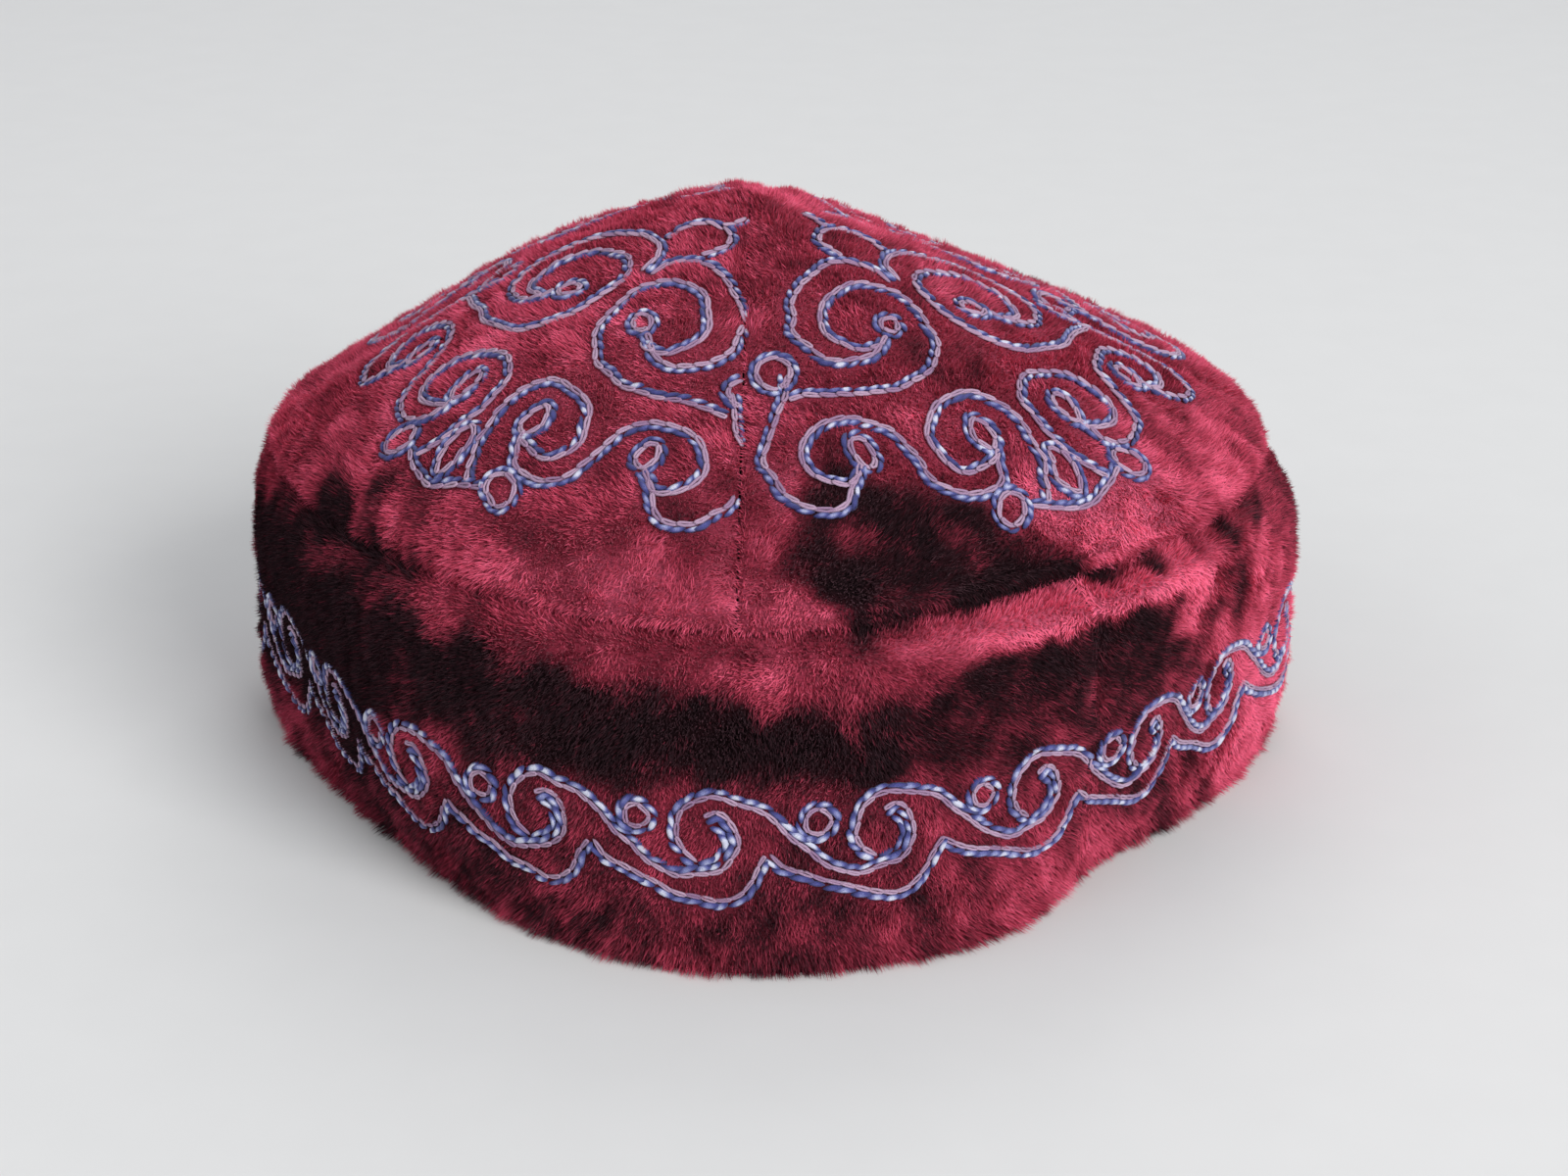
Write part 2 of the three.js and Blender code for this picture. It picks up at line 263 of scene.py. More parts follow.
# One side of a gore's scrollwork in plan: an eye lies (along, across) the middle line of the gore,
# and a stroke passes through stations, each with its eye and its turn and reach about that eye.
# A shift moves the whole chart of a gore
GORE_EYES = {"upper": (42, 14), "lower": (58, 36), "inner": (66, 13), "top": (19, 0)}
GORE_SHIFTS = {"gore_front_left": (-0.5, 5.0)}
GORE_STROKES = {
    "arch": [
        ("top", 180, 3.5), ("top", 123, 4.0), ("top", 80, 5.7), ("top", 45, 7.6),
    ],
    "upper hook": [
        ("upper", 236, 16), ("upper", 222, 18.5), ("upper", 200, 18), ("upper", 170, 15.5),
        ("upper", 145, 14.5), ("upper", 115, 13.5), ("upper", 90, 12), ("upper", 65, 9.5),
        ("upper", 40, 6), ("upper", 10, 3.6), ("upper", -30, 2.8),
    ],
    "upper scroll": [
        ("upper", -10, 2.8), ("upper", 35, 3.5), ("upper", 70, 5.5), ("upper", 115, 7.5), ("upper", 150, 8.5),
        ("upper", 185, 10), ("upper", 215, 12), ("upper", 245, 12.3), ("upper", 275, 11),
        ("upper", 305, 10.8), ("upper", 340, 10.8), ("upper", 372, 11.3), ("upper", 400, 13),
        ("upper", 424, 15.9), ("upper", 441, 21.8),
    ],
    "lower hook": [
        ("lower", 190, 17), ("lower", 172, 13), ("lower", 150, 11.8), ("lower", 125, 12.2),
        ("lower", 100, 12.2), ("lower", 75, 11.5), ("lower", 52, 10), ("lower", 30, 8),
        ("lower", 0, 5), ("lower", -35, 4.2),
    ],
    "lower scroll": [
        ("lower", -20, 3.9), ("lower", 30, 4.5), ("lower", 85, 5), ("lower", 135, 5.6), ("lower", 190, 5.4),
        ("lower", 236, 7.2), ("lower", 270, 10), ("lower", 293, 12.2), ("inner", 75, 11.5),
        ("inner", 52, 10), ("inner", 30, 8.4), ("inner", 0, 7), ("inner", -30, 5),
        ("inner", -52, 4.3),
    ],
    "inner scroll": [
        ("inner", -48, 4.3), ("inner", 0, 3.4), ("inner", 58, 5.6), ("inner", 90, 7), ("inner", 124, 7.2),
        ("inner", 172, 7.2), ("inner", 220, 9.2), ("inner", 248, 10.8), ("inner", 275, 11),
        ("inner", 297, 11.2), ("inner", 318, 12), ("inner", 335, 13),
    ],
}

# Small closed loops of the scrollwork: centre, half-length, half-width and lean of the long way
Loop = namedtuple("Loop", "about along across long wide lean")
GORE_LOOPS = [
    Loop("end of the upper hook", 42.3, 10.0, 2.5, 2.1, 70),
    Loop("beside the crown seam", 39.8, 34.0, 3.6, 3.2, 20),
    Loop("end of the lower hook", 59.5, 32.0, 3.0, 2.2, 10),
    Loop("end of the lower scroll", 65.5, 10.0, 3.2, 2.2, 0),
    Loop("side leaf of the trefoil", 76.5, 14.2, 3.4, 2.5, 75),
]
MIDDLE_LEAF = Loop("middle leaf of the trefoil", 75.0, 0.0, 4.2, 2.6, 0)
GORE_FOOT = [(77, -10.5), (79.2, -5.5), (80.3, 0), (79.2, 5.5), (77, 10.5)]
GORE_STEM = [(9.5, 0), (12.5, 0.3), (15.5, 0)]

# One repeat of the band's running scroll. Start, finish and curl are turns and reaches about an eye,
# and the wave and the ring lie along the band from the eye and up from the rim
BAND_REPEATS = 21
BAND_FIRST_EYE = 14.8
BAND_RADIUS = 97.5
BAND_EYE = 25
BAND_START = [(252, 5.6), (215, 5.4), (180, 5.5), (145, 5.8), (105, 6.3), (68, 7)]
BAND_FINISH = [
    (168, 20.7), (179, 15.6), (200, 11.6), (230, 9.0), (256, 7.0), (295, 6.0), (333, 5.2), (373, 4.2),
    (415, 3.8), (450, 2.7),
]
BAND_WAVE = [(-19.2, 21.0), (-16, 18.6), (-11, 16.4), (-4, 13.8), (2.2, 12.6), (6.6, 15.0), (10, 21.0)]
BAND_CURL = [(262, 5.8), (295, 4.9), (333, 4.1), (373, 3.0), (415, 2.5)]
BAND_RING = Loop("ring on the running line", -11.2, 26.9, 2.6, 2.5, 0)

rng = np.random.default_rng(SEED)


# Small helpers on arrays of points
def unit(vectors):
    return vectors / np.maximum(np.linalg.norm(vectors, axis=-1, keepdims=True), 1e-12)


def patch(distance, spread):
    """A flat-topped bump: 1 in the middle of a patch and 0 well outside its spread."""
    return np.exp(-((distance / spread) ** 4))


def azimuth_of(points):
    return np.degrees(np.arctan2(points[..., 0], -points[..., 1]))


def level_of(points, on_crown):
    if on_crown:
        return 2 - np.hypot(points[..., 0], points[..., 1]) / CROWN_REACH
    return points[..., 2] / SEAM_HEIGHT


def wave_noise(points, size_mm, seed):
    """Smooth seeded noise of about unit spread, made of plane waves near one size."""
    picks = np.random.default_rng(seed)
    ways = unit(picks.normal(size=(NOISE_WAVES, 3))) * (2 * math.pi / (size_mm * MM))
    ways = ways * picks.uniform(*NOISE_PITCHES, (NOISE_WAVES, 1))
    phases = picks.uniform(0, 2 * math.pi, NOISE_WAVES)
    return np.cos(points @ ways.T + phases).sum(axis=-1) * math.sqrt(2 / NOISE_WAVES)


def smooth_line(stations):
    """Evenly spaced points on a Catmull-Rom curve through the stations."""
    knots = np.asarray(stations, float)
    ends = [2 * knots[0] - knots[1], 2 * knots[-1] - knots[-2]]
    knots = np.vstack([ends[0], knots, ends[1]])
    t = np.linspace(0, 1, SPAN_POINTS, endpoint=False)[:, None]
    spans = []
    for a, b, c, d in zip(knots, knots[1:], knots[2:], knots[3:]):
        cubic = (3 * b - a - 3 * c + d) * t**3 + (2 * a - 5 * b + 4 * c - d) * t**2
        spans.append((2 * b + (c - a) * t + cubic) / 2)
    return even_steps(np.vstack([*spans, knots[-2:-1]]))


def even_steps(points):
    lengths = np.linalg.norm(np.diff(points, axis=0), axis=1)
    along = np.concatenate([[0], np.cumsum(lengths)])
    places = np.linspace(0, along[-1], max(3, int(along[-1] / LINE_STEP)))
    return np.stack([np.interp(places, along, column) for column in points.T], axis=1)


def loop_line(loop, side=1):
    """A closed oval loop, turning the same way on both sides of a mirrored chart."""
    turn = np.linspace(0, 2 * math.pi, LOOP_POINTS)
    lean = math.radians(loop.lean)
    long_way = loop.long * np.cos(turn)
    wide_way = loop.wide * np.sin(turn)
    along = loop.along + long_way * math.cos(lean) - wide_way * math.sin(lean)
    across = loop.across + long_way * math.sin(lean) + wide_way * math.cos(lean)
    return even_steps(np.stack([along, side * across], axis=1))


# Meshes and pieces
def new_piece(name, vertices, faces, material):
    mesh = bpy.data.meshes.new(name)
    mesh.from_pydata(vertices, [], faces)
    mesh.materials.append(material)
    piece = bpy.data.objects.new(name, mesh)
    bpy.context.scene.collection.objects.link(piece)
    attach(piece, "root")
    return piece


def store_values(piece, name, values):
    attribute = piece.data.attributes.new(name, "FLOAT", "POINT")
    attribute.data.foreach_set("value", np.ascontiguousarray(values, np.float32).ravel())


def store_map(piece, places):
    """A map of one place per vertex, kept for the texture bake."""
    corners = np.zeros(len(piece.data.loops), np.int32)
    piece.data.loops.foreach_get("vertex_index", corners)
    layer = piece.data.uv_layers.new(name="OFBake")
    layer.data.foreach_set("uv", np.ascontiguousarray(places[corners], np.float32).ravel())


# Cloth shells, rounded from the frame's own walls
class Cloth:
    """One cut piece of velvet: its rounded shell, and a way to find its outer face."""

    def __init__(self, node, materials):
        self.node = node
        self.on_crown = node in GORE_MIDDLES
        self.shell = self.rounded_shell(materials)
        mesh = self.shell.data
        self.tree = BVHTree.FromPolygons(
            [vertex.co for vertex in mesh.vertices], [tuple(face.vertices) for face in mesh.polygons]
        )
        self.read_outer_face()
        places = np.array([vertex.co for vertex in mesh.vertices])
        # Painted light and shade of the nap, which also colours the ground
        store_values(self.shell, "shade", painted_light_and_shade(places, self.on_crown))

    def rounded_shell(self, materials):
        work = bmesh.new()
        work.from_mesh(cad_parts[self.node].data)
        bmesh.ops.remove_doubles(work, verts=work.verts, dist=WELD_DISTANCE)
        bmesh.ops.join_triangles(
            work,
            faces=work.faces,
            angle_face_threshold=JOIN_FACE_ANGLE,
            angle_shape_threshold=JOIN_SHAPE_ANGLE,
        )
        crease = work.edges.layers.float.new("crease_edge")
        for edge in work.edges:
            if edge.calc_face_angle(0) > CREASE_ANGLE:
                edge[crease] = CREASE_SHARPNESS
        mesh = bpy.data.meshes.new(f"velvet_{self.node}")
        work.to_mesh(mesh)
        work.free()
        shell = bpy.data.objects.new(mesh.name, mesh)
        bpy.context.scene.collection.objects.link(shell)
        rounding = shell.modifiers.new("rounding", "SUBSURF")
        rounding.levels = rounding.render_levels = 1
        graph = bpy.context.evaluated_depsgraph_get()
        shell.data = bpy.data.meshes.new_from_object(shell.evaluated_get(graph))
        shell.data.name = mesh.name
        shell.modifiers.clear()
        shell.data.materials.clear()
        for material in materials:
            shell.data.materials.append(material)
        for face in shell.data.polygons:
            outward = (face.center - HEART).normalized()
            face.material_index = 0 if face.normal.dot(outward) > OUTER_FACING else 1
            face.use_smooth = True
        return shell

    def read_outer_face(self):
        mesh = self.shell.data
        mesh.calc_loop_triangles()
        corners = np.zeros(len(mesh.loop_triangles) * 3, np.int32)
        mesh.loop_triangles.foreach_get("vertices", corners)
        slots = np.zeros(len(mesh.loop_triangles), np.int32)
        mesh.loop_triangles.foreach_get("material_index", slots)
        places = np.zeros(len(mesh.vertices) * 3, np.float32)
        mesh.vertices.foreach_get("co", places)
        normals = np.zeros(len(mesh.vertices) * 3, np.float32)
        mesh.vertices.foreach_get("normal", normals)
        triangles = corners.reshape(-1, 3)[slots == 0]
        self.corners = places.reshape(-1, 3).astype(float)[triangles]
        self.normals = normals.reshape(-1, 3).astype(float)[triangles]
        edges = self.corners[:, 1:] - self.corners[:, :1]
        self.areas = np.linalg.norm(np.cross(edges[:, 0], edges[:, 1]), axis=1) / 2

    def scatter(self):
        """Seeded places on the outer face with their normals, at the density of the pile."""
        count = int(self.areas.sum() / MM**2 * PILE_PER_MM2)
        picked = rng.choice(len(self.areas), count, p=self.areas / self.areas.sum())
        u = np.sqrt(rng.random((count, 1)))
        v = rng.random((count, 1))
        weights = np.stack([1 - u, u * (1 - v), u * v], axis=1)
        places = (self.corners[picked] * weights).sum(axis=1)
        normals = unit((self.normals[picked] * weights).sum(axis=1))
        return places, normals

    def drop_on(self, starts, ways):
        """Where rays meet the outer face, with the normals there, in runs without a break."""
        runs = [([], [])]
        for start, way in zip(starts, ways):
            place, normal, _, _ = self.tree.ray_cast(Vector(start), Vector(way))
            if place is None:
                runs.append(([], []))
            else:
                runs[-1][0].append(place)
                runs[-1][1].append(normal)
        return [(np.array(p), smoothed(np.array(n))) for p, n in runs if len(p) > SHORTEST_RUN]


def smoothed(normals):
    """Normals along a line, averaged over their neighbours."""
    padded = np.pad(normals, ((NORMAL_REACH, NORMAL_REACH), (0, 0)), mode="edge")
    window_size = 2 * NORMAL_REACH + 1
    window = np.ones(window_size) / window_size
    mean = [np.convolve(column, window, mode="valid") for column in padded.T]
    return unit(np.stack(mean, axis=1))


# Embroidery lines on the cloth: places, normals, the side that the blue thread lies on
# and whether a lilac thread runs beside it
Line = namedtuple("Line", "places normals blue_side paired")


def gore_runs(cloth, chart, blue_side):
    """Lines of a gore's chart, dropped on its cloth and cut where they pass under a seam."""
    middle = math.radians(GORE_MIDDLES[cloth.node])
    outward = np.array([math.sin(middle), -math.cos(middle), 0])
    onward = np.array([math.cos(middle), math.sin(middle), 0])
    chart = chart + np.array(GORE_SHIFTS.get(cloth.node, (0, 0)))
    starts = (chart[:, :1] * outward + chart[:, 1:] * onward) * MM + np.array([0, 0, 2 * TOP_HEIGHT])
    runs = cloth.drop_on(starts, np.tile([0.0, 0.0, -1.0], (len(starts), 1)))
    return [Line(places, normals, blue_side, True) for places, normals in runs]


def gore_lines(cloth):
    lines = []
    for side in (1, -1):
        for stations in GORE_STROKES.values():
            chart = []
            for eye, turn, reach in stations:
                along, across = GORE_EYES[eye]
                turn = math.radians(turn)
                chart.append((along + reach * math.cos(turn), side * (across + reach * math.sin(turn))))
            lines += gore_runs(cloth, smooth_line(chart), side)
        for loop in GORE_LOOPS:
            lines += gore_runs(cloth, loop_line(loop, side), -side)
    lines += gore_runs(cloth, loop_line(MIDDLE_LEAF), -1)
    lines += gore_runs(cloth, smooth_line(GORE_FOOT), 1)
    lines += gore_runs(cloth, smooth_line(GORE_STEM), 1)
    return lines


def band_runs(cloth, chart, eye_azimuth, blue_side, paired=True):
    azimuths = math.radians(eye_azimuth) + chart[:, 0] / BAND_RADIUS
    ways = np.stack([np.sin(azimuths), -np.cos(azimuths), np.zeros(len(chart))], axis=1)
    heights = np.stack([np.zeros(len(chart)), np.zeros(len(chart)), chart[:, 1] * MM], axis=1)
    starts = ways * RAY_START + heights
    runs = cloth.drop_on(starts, -ways)
    return [Line(places, normals, blue_side, paired) for places, normals in runs]


def round_eye(stations, along):
    """Chart points of stations given as turn and reach about an eye of the band."""
    turns = [(math.radians(turn), reach) for turn, reach in stations]
    return [(along + reach * math.cos(turn), BAND_EYE + reach * math.sin(turn)) for turn, reach in turns]


def band_lines(cloth):
    repeat = 2 * math.pi * BAND_RADIUS / BAND_REPEATS
    running = round_eye(BAND_START, 0) + round_eye(BAND_FINISH, repeat)
    curl = round_eye(BAND_CURL, repeat)
    lines = []
    for index in range(BAND_REPEATS):
        azimuth = BAND_FIRST_EYE + index * 360 / BAND_REPEATS
        lines += band_runs(cloth, smooth_line(running), azimuth, 1)
        lines += band_runs(cloth, smooth_line(curl), azimuth, 1, False)
        lines += band_runs(cloth, smooth_line(BAND_WAVE), azimuth, -1)
        lines += band_runs(cloth, loop_line(BAND_RING), azimuth, -1)
    return lines


# Stitches
class Path:
    """A thread's line: places, sides and normals at any length along it."""

    def __init__(self, line, offset):
        self.normals = line.normals
        tangents = unit(np.gradient(line.places, axis=0))
        self.sides = unit(np.cross(line.normals, tangents))
        wobble = HAND_WOBBLE * MM * wave_noise(line.places, WOBBLE_SIZE, WOBBLE_SEED)
        self.places = line.places + self.sides * (offset + wobble)[:, None]
        steps = np.linalg.norm(np.diff(self.places, axis=0), axis=1)
        self.along = np.concatenate([[0], np.cumsum(steps)])
        self.length = self.along[-1]

    def at(self, lengths, across, rise):
        def read(columns):
            return np.stack([np.interp(lengths, self.along, c) for c in columns.T], axis=-1)

        sides, normals = unit(read(self.sides)), unit(read(self.normals))
        places = read(self.places) + sides * across[..., None] + normals * rise[..., None]
        return places, normals


def tubes(centres, normals, radii, closed, corners):
    """Tubes round many lines of equal point count: vertices and quads, ring after ring."""
    count, points = centres.shape[:2]
    if closed:
        tangents = unit(np.roll(centres, -1, axis=1) - np.roll(centres, 1, axis=1))
    else:
        tangents = unit(np.gradient(centres, axis=1))
    sides = unit(np.cross(tangents, normals))
    ups = np.cross(sides, tangents)
    turns = np.arange(corners) * 2 * math.pi / corners
    ring = np.cos(turns)[:, None] * sides[:, :, None] + np.sin(turns)[:, None] * ups[:, :, None]
    vertices = centres[:, :, None] + ring * radii[..., None, None]
    rows = np.arange(points if closed else points - 1)
    this_ring = rows[:, None] * corners
    next_ring = ((rows + 1) % points)[:, None] * corners
    corner = np.arange(corners)
    next_corner = (corner + 1) % corners
    quads = np.stack(
        [this_ring + corner, this_ring + next_corner, next_ring + next_corner, next_ring + corner],
        axis=-1,
    ).reshape(-1, 4)
    shift = np.arange(count)[:, None, None] * points * corners
    return vertices.reshape(-1, 3), (quads + shift).reshape(-1, 4)


def chain_stitches(paths, scale):
    """Loops of a chain stitch, each one held by the next."""
    turn = np.linspace(0, 2 * math.pi, CHAIN_POINTS, endpoint=False)
    share = 0.5 - 0.5 * np.cos(turn)
    centres, normals = [], []
    for path in paths:
        count = max(2, round(path.length / (CHAIN_STITCH * scale)))
        pitch = path.length / count
        starts = np.arange(count) * pitch
        lengths = np.clip(starts[:, None] + share * pitch * CHAIN_OVERLAP, 0, path.length)
        width = CHAIN_HALF_WIDTH * scale * rng.uniform(*CHAIN_WIDTHS, (count, 1))
        across = np.sin(turn) * width * (CHAIN_NECK + CHAIN_BELLY * share)
        rise = np.tile((CHAIN_RISE + CHAIN_CLIMB * share) * scale, (count, 1))
        place, normal = path.at(lengths, across, rise)
        centres.append(place)
        normals.append(normal)
    centres, normals = np.concatenate(centres), np.concatenate(normals)
    radii = np.full(centres.shape[:2], CHAIN_THREAD * scale)
    return centres, normals, radii


def twist_stitches(paths, scale):
    """Short slanted stitches that lie over one another like a twisted cord."""
    share = np.linspace(-1, 1, TWIST_POINTS)
    plump = np.sqrt(np.maximum(1 - share**2, TWIST_END))
    centres, normals, radii = [], [], []
    for path in paths:
        count = max(3, round(path.length / (TWIST_STITCH * scale)))
        scatter = rng.uniform(-TWIST_SCATTER, TWIST_SCATTER, count)
        middles = (np.arange(count) + 0.5 + scatter) * path.length / count
        half = TWIST_LENGTH / 2 * scale * rng.uniform(*TWIST_LENGTHS, (count, 1))
        lengths = np.clip(middles[:, None] + share * half, 0, path.length)
        slant = TWIST_SLANT * rng.uniform(*TWIST_SLANTS, (count, 1)) * scale
        rise = np.tile((TWIST_RISE + TWIST_CLIMB * share) * scale, (count, 1))
        place, normal = path.at(lengths, share * slant, rise)
        centres.append(place)
        normals.append(normal)
        radii.append(TWIST_THREAD * scale * plump * rng.uniform(*TWIST_THREADS, (count, 1)))
    return np.concatenate(centres), np.concatenate(normals), np.concatenate(radii)


def stitch_piece(name, stitches, closed, tones_and_glints, material):
    centres, normals, radii = stitches
    count, points = centres.shape[:2]
    corners = CHAIN_CORNERS if closed else TWIST_CORNERS
    vertices, quads = tubes(centres, normals, radii, closed, corners)
    piece = new_piece(name, vertices, quads, material)
    # Random tone per stitch, and on the blue stitches painted glints and painted shade
    store_values(piece, "tone_and_glint", np.broadcast_to(tones_and_glints, (count, points, corners)))
    along = np.tile(np.repeat(np.linspace(*STITCH_MARGINS, points), corners), count)
    around = np.tile(np.linspace(*STITCH_MARGINS, corners), count * points)
    columns = math.ceil(math.sqrt(count))
    cell = np.repeat(np.arange(count), points * corners)
    store_map(piece, np.stack([cell % columns + along, cell // columns + around], axis=1) / columns)
    piece.data.shade_smooth()
    return piece


def blue_painted_glints(stitches, glint_strength):
    """Painted light on the glossy blue thread: a pale painted glint over the top middle of most stitches, and
    painted shade at the stitch ends and underneath.
    """
    count, points = stitches[0].shape[:2]
    glint_strength = np.clip(rng.normal(glint_strength, GLINT_SCATTER, (count, 1, 1)), *GLINT_LIMITS)
    middle = np.sin(np.linspace(*GLINT_ENDS, points) * math.pi)[:, None] ** GLINT_GATHER
    top = 0.5 + 0.5 * np.sin(np.arange(TWIST_CORNERS) * 2 * math.pi / TWIST_CORNERS)
    return glint_strength * middle * (GLINT_ON_UNDERSIDE + (1 - GLINT_ON_UNDERSIDE) * top**2)


def lilac_tones(stitches):
    return rng.random((len(stitches[0]), 1, 1))


# Pile
def painted_light_and_shade(places, on_crown):
    """Painted light and shade of the nap, with random mottle: from 0, painted shade where one looks into the
    nap, to 1, painted sheen where it lies flat.
    """
    sideways = wave_noise(places, AZIMUTH_WAVER_SIZE, WAVER_SEEDS[0])
    upward = wave_noise(places, LEVEL_WAVER_SIZE, WAVER_SEEDS[1])
    sideways, upward = np.clip([sideways, upward], -WAVER_LIMIT, WAVER_LIMIT)
    azimuths = azimuth_of(places) + AZIMUTH_WAVER * sideways
    levels = level_of(places, on_crown) + LEVEL_WAVER * upward
    shade = np.full(len(places), CROWN_SHADE if on_crown else BAND_SHADE)
    for zone in PAINTED_LIGHT_ZONES:
        turn = (azimuths - zone.azimuth + 180) % 360 - 180
        shade += zone.shade * patch(turn, zone.wide) * patch(levels - zone.level, zone.high)
    for index, mottle in enumerate(MOTTLE):
        shade += mottle.strength * wave_noise(places, mottle.size, MOTTLE_SEED + index)
    return np.clip(shade, LEAST_SHADE, 1)


def pile_places(places, cloth):
    """Chart places for the pile's map: plan on the crown, azimuth and height on the band."""
    if cloth.on_crown:
        return 0.5 + CROWN_MAP_HALF * places[:, :2] / CROWN_REACH
    across = (azimuth_of(places) % 180) / 180
    return np.stack([across, BAND_MAP_FOOT + BAND_MAP_HEIGHT * level_of(places, False)], axis=1)


def clear_of_threads(places, threads):
    """Distance of each place to the nearest embroidery line, in millimetres."""
    return np.array([threads.find(place)[2] for place in places]) / MM


def pile_piece(name, cloth, places, normals, room, material):
    count = len(places)
    shade = painted_light_and_shade(places, cloth.on_crown)
    downhill = np.array([0, 0, -1.0]) - normals * -normals[:, 2:]
    away = places * np.array([1, 1, 0]) if cloth.on_crown else downhill
    comb = unit(away - normals * (away * normals).sum(axis=1, keepdims=True))
    swirl = np.zeros(count)
    for layer, seed in zip(SWIRLS, SWIRL_SEEDS):
        swirl += layer.strength * wave_noise(places, layer.size, seed)
    swirl = (swirl + rng.normal(0, SWIRL_SCATTER, count))[:, None]
    comb = comb * np.cos(swirl) + np.cross(normals, comb) * np.sin(swirl)
    upright = SEAM_UPRIGHT * patch(places[:, 2] - SEAM_HEIGHT, SEAM_REACH * MM)
    upright += RIM_UPRIGHT * patch(places[:, 2], RIM_PILE_REACH * MM)
    lean = (LEAN_IN_DARK + LEAN_MORE_IN_LIGHT * shade**2) * (1 - upright)
    lean = np.radians(lean + rng.normal(0, LEAN_SCATTER, count))[:, None]
    way = unit(normals * np.cos(lean) + comb * np.sin(lean))
    clear = np.clip((room - PRESSED_PILE) / (SHORT_PILE - PRESSED_PILE), 0, 1)
    short = SHORT_SHARE + (1 - SHORT_SHARE) * clear
    longer = 1 + RIM_PILE * patch(places[:, 2], RIM_PILE_REACH * MM)
    tufts = np.clip(wave_noise(places, TUFT_SIZE, TUFT_SEED), -TUFT_LIMIT, TUFT_LIMIT)
    longer += PILE_TUFTS * tufts
    length = (rng.uniform(*PILE_LENGTH, count) * short * longer)[:, None] * MM
    width = rng.uniform(*PILE_WIDTH, (count, 1)) * MM / 2
    twist = rng.normal(0, STRAND_TWIST, (count, 1))
    flat = unit(np.cross(normals, way))
    flat = flat * np.cos(twist) + np.cross(way, flat) * np.sin(twist)
    tips = places + way * length
    corners = np.stack([places - flat * width, places + flat * width, tips], axis=1)
    corners[..., 2] = np.maximum(corners[..., 2], LOWEST_PILE * MM)
    piece = new_piece(name, corners.reshape(-1, 3), np.arange(3 * count).reshape(-1, 3), material)
    # Each strand's colour follows the painted light and shade, with a random spread
    strand = np.clip(shade + rng.normal(0, STRAND_SHADES, count), 0, 1)
    store_values(piece, "shade", np.repeat(strand, 3))
    store_values(piece, "height", np.tile([0.0, 0.0, 1.0], count))
    half = STRAND_MAP_HALF
    spread = np.array([[-half, 0], [half, 0], [0, 2 * half]])
    chart = np.clip(pile_places(places, cloth), *STRAND_MAP_LIMITS)
    store_map(piece, (chart[:, None] + spread).reshape(-1, 2))
    return piece


# Materials
def new_material(name, roughness, specular, sheen, sheen_tint):
    material = bpy.data.materials.new(name)
    material.use_nodes = True
    nodes, links = material.node_tree.nodes, material.node_tree.links
    surface = nodes["Principled BSDF"]
    surface.inputs["Roughness"].default_value = roughness
    surface.inputs["Specular IOR Level"].default_value = specular
    surface.inputs["Sheen Weight"].default_value = sheen
    surface.inputs["Sheen Roughness"].default_value = SHEEN_ROUGHNESS
    surface.inputs["Sheen Tint"].default_value = (*sheen_tint, 1)
    return material, nodes, links, surface


def add_ramp(nodes, stops):
    ramp = nodes.new("ShaderNodeValToRGB")
    while len(ramp.color_ramp.elements) < len(stops):
        ramp.color_ramp.elements.new(0.5)
    for element, (place, colour) in zip(ramp.color_ramp.elements, stops):
        element.position = place
        element.color = (*colour, 1)
    return ramp


def add_attribute(nodes, name):
    attribute = nodes.new("ShaderNodeAttribute")
    attribute.attribute_name = name
    return attribute.outputs["Fac"]


def add_product(nodes, links, colour, factor):
    mix = nodes.new("ShaderNodeMix")
    mix.data_type, mix.blend_type = "RGBA", "MULTIPLY"
    mix.inputs["Factor"].default_value = 1
    links.new(colour, mix.inputs["A"])
    links.new(factor, mix.inputs["B"])
    return mix.outputs["Result"]


def add_bump(nodes, links, surface, height, strength, distance):
    bump = nodes.new("ShaderNodeBump")
    bump.inputs["Strength"].default_value = strength
    bump.inputs["Distance"].default_value = distance
    links.new(height, bump.inputs["Height"])
    links.new(bump.outputs["Normal"], surface.inputs["Normal"])


def pile_material():
    material, nodes, links, surface = new_material(
        "velvet_pile", roughness=0.7, specular=0.06, sheen=0.22, sheen_tint=(1.0, 0.5, 0.62)
    )
    # Pile colour along the painted light and shade of the nap
    ramp = add_ramp(nodes, PILE_COLOUR_BY_PAINTED_LIGHT)
    links.new(add_attribute(nodes, "shade"), ramp.inputs["Fac"])
    # Painted shade at each strand's root, painted light at its tip
    root_shade_tip_light = nodes.new("ShaderNodeMapRange")
    root_shade_tip_light.inputs["To Min"].default_value = ROOT_PAINTED_SHADE
    root_shade_tip_light.inputs["To Max"].default_value = TIP_PAINTED_LIGHT
    links.new(add_attribute(nodes, "height"), root_shade_tip_light.inputs["Value"])
    colour = add_product(nodes, links, ramp.outputs["Color"], root_shade_tip_light.outputs["Result"])
    links.new(colour, surface.inputs["Base Color"])
    return material


